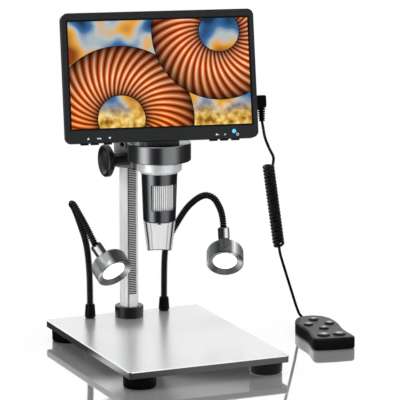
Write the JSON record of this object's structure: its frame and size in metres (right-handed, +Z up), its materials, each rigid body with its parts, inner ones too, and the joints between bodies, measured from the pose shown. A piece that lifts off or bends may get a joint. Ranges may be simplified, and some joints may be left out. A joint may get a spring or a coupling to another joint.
{
  "type": "digital microscope",
  "caption": "Digital microscope with a tilting colour screen on a rack-and-pinion column stand, two gooseneck lamps and a corded button remote.",
  "frame": {"origin": "point of the base plate's top face under the optical axis", "axes": "+Z up along the optical axis, -Y to the front of the stand, +X to the user's right"},
  "size_m": [0.2536, 0.196, 0.2947],
  "materials": {
    "plate_silver": "satin",
    "rubber_black": "matte",
    "steel": "satin",
    "column_alu": "satin",
    "collar_black": "gloss",
    "carriage_grey": "satin",
    "gunmetal": "satin",
    "black_plastic": "matte",
    "bezel_charcoal": "matte",
    "nut_alu": "satin",
    "clear": "gloss",
    "board": "gloss",
    "picture": "gloss",
    "cell_foil": "satin",
    "lens_white": "gloss",
    "light_cyan": "gloss",
    "lamp_steel": "satin",
    "cord_black": "satin"
  },
  "bodies": {
    "stand": {"base_plate": "plate_silver", "rubber_feet": "rubber_black", "foot_screws": "steel", "column_collar": "collar_black", "column": "column_alu", "rack": "steel", "column_cap": "black_plastic", "lamp_boots": "rubber_black", "left_gooseneck": "cord_black", "right_gooseneck": "cord_black", "remote_top": "bezel_charcoal", "remote_base": "black_plastic", "remote_board": "board", "cord_lower": "cord_black"},
    "carriage": {"carriage": "carriage_grey", "holder_ring": "gunmetal", "arm_screws": "steel", "clamp_screws": "collar_black", "cord_coil": "cord_black"},
    "focus_knobs": {"focus_knobs": "black_plastic", "pinion_shaft": "steel"},
    "tube": {"neck": "black_plastic", "scope_tube": "gunmetal", "clamp_nut": "nut_alu", "barrel": "gunmetal", "clear_tip": "clear", "sensor_board": "board", "led_ring": "board", "hinge_pin": "steel", "cord_coil_top": "cord_black"},
    "focus_wheel": {"focus_wheel": "nut_alu"},
    "lens_cell": {"lens_cell": "black_plastic"},
    "screen": {"front_bezel": "bezel_charcoal", "rear_cover": "black_plastic", "lcd_panel": "picture", "main_board": "board", "battery": "cell_foil", "cover_screws": "steel", "remote_jack": "black_plastic", "status_light": "light_cyan", "plug": "black_plastic", "cord_upper": "cord_black"},
    "left_lamp": {"left_lamp_head": "lamp_steel", "left_lamp_lens": "lens_white", "left_lamp_sleeve": "collar_black"},
    "right_lamp": {"right_lamp_head": "lamp_steel", "right_lamp_lens": "lens_white", "right_lamp_sleeve": "collar_black"},
    "screen_button_1": {"screen_button_1": "black_plastic"},
    "screen_button_2": {"screen_button_2": "black_plastic"},
    "screen_button_3": {"screen_button_3": "black_plastic"},
    "screen_button_4": {"screen_button_4": "black_plastic"},
    "screen_button_5": {"screen_button_5": "black_plastic"},
    "screen_button_6": {"screen_button_6": "black_plastic"},
    "remote_button_up": {"remote_button_up": "black_plastic"},
    "remote_button_left": {"remote_button_left": "black_plastic"},
    "remote_button_right": {"remote_button_right": "black_plastic"},
    "remote_button_down": {"remote_button_down": "black_plastic"},
    "remote_button_photo": {"remote_button_photo": "black_plastic"},
    "remote_button_video": {"remote_button_video": "black_plastic"}
  },
  "joints": [
    {"name": "height", "type": "slide", "parent": "stand", "child": "carriage", "axis": [0, 0, 1], "range_m": [-0.045, 0.025], "deforming": ["cord_coil"]},
    {"name": "focus_turn", "type": "hinge", "parent": "carriage", "child": "focus_knobs", "pos_m": [0, 0.0566, 0.1432], "axis": [1, 0, 0], "range_deg": [-330, 585]},
    {"name": "tube_turn", "type": "hinge", "parent": "carriage", "child": "tube", "pos_m": [0, 0, 0.16], "axis": [0, 0, 1], "range_deg": [-32, 57], "deforming": ["cord_coil_top"]},
    {"name": "screen_tilt", "type": "hinge", "parent": "tube", "child": "screen", "pos_m": [0.00284, 0.01269, 0.187], "axis": [-0.9759, 0.2181, 0], "range_deg": [0, 40], "deforming": ["cord_upper"]},
    {"name": "wheel_turn", "type": "hinge", "parent": "tube", "child": "focus_wheel", "pos_m": [0, 0, 0.1212], "axis": [0, 0, 1], "range_deg": [-150, 150]},
    {"name": "lens_travel", "type": "slide", "parent": "tube", "child": "lens_cell", "axis": [0, 0, 1], "range_m": [-0.0033, 0.0033]},
    {"name": "left_lamp_bend", "type": "hinge", "parent": "stand", "child": "left_lamp", "pos_m": [-0.0504, 0.0715, 0.101], "axis": [0.9635, -0.2676, 0], "range_deg": [-15, 10], "deforming": ["left_gooseneck"]},
    {"name": "right_lamp_bend", "type": "hinge", "parent": "stand", "child": "right_lamp", "pos_m": [0.0525, 0.064, 0.0935], "axis": [0.8379, 0.5458, 0], "range_deg": [-15, 10], "deforming": ["right_gooseneck"]},
    {"name": "screen_button_1_press", "type": "slide", "parent": "screen", "child": "screen_button_1", "axis": [0.0528, 0.2361, 0.9703], "range_m": [0, 0.0008], "stiffness_N_per_m": 400},
    {"name": "screen_button_2_press", "type": "slide", "parent": "screen", "child": "screen_button_2", "axis": [0.0528, 0.2361, 0.9703], "range_m": [0, 0.0008], "stiffness_N_per_m": 400},
    {"name": "screen_button_3_press", "type": "slide", "parent": "screen", "child": "screen_button_3", "axis": [0.0528, 0.2361, 0.9703], "range_m": [0, 0.0008], "stiffness_N_per_m": 400},
    {"name": "screen_button_4_press", "type": "slide", "parent": "screen", "child": "screen_button_4", "axis": [0.0528, 0.2361, 0.9703], "range_m": [0, 0.0008], "stiffness_N_per_m": 400},
    {"name": "screen_button_5_press", "type": "slide", "parent": "screen", "child": "screen_button_5", "axis": [0.0528, 0.2361, 0.9703], "range_m": [0, 0.0008], "stiffness_N_per_m": 400},
    {"name": "screen_button_6_press", "type": "slide", "parent": "screen", "child": "screen_button_6", "axis": [0.0528, 0.2361, 0.9703], "range_m": [0, 0.0008], "stiffness_N_per_m": 400},
    {"name": "remote_button_up_press", "type": "slide", "parent": "stand", "child": "remote_button_up", "axis": [0, 0, -1], "range_m": [0, 0.0006], "stiffness_N_per_m": 400},
    {"name": "remote_button_left_press", "type": "slide", "parent": "stand", "child": "remote_button_left", "axis": [0, 0, -1], "range_m": [0, 0.0006], "stiffness_N_per_m": 400},
    {"name": "remote_button_right_press", "type": "slide", "parent": "stand", "child": "remote_button_right", "axis": [0, 0, -1], "range_m": [0, 0.0006], "stiffness_N_per_m": 400},
    {"name": "remote_button_down_press", "type": "slide", "parent": "stand", "child": "remote_button_down", "axis": [0, 0, -1], "range_m": [0, 0.0006], "stiffness_N_per_m": 400},
    {"name": "remote_button_photo_press", "type": "slide", "parent": "stand", "child": "remote_button_photo", "axis": [0, 0, -1], "range_m": [0, 0.0006], "stiffness_N_per_m": 400},
    {"name": "remote_button_video_press", "type": "slide", "parent": "stand", "child": "remote_button_video", "axis": [0, 0, -1], "range_m": [0, 0.0006], "stiffness_N_per_m": 400}
  ],
  "couplings": [
    {"joint": "focus_turn", "follows": "height", "rad_per_m": -222.22},
    {"joint": "wheel_turn", "follows": "lens_travel", "rad_per_m": 787.4}
  ]
}
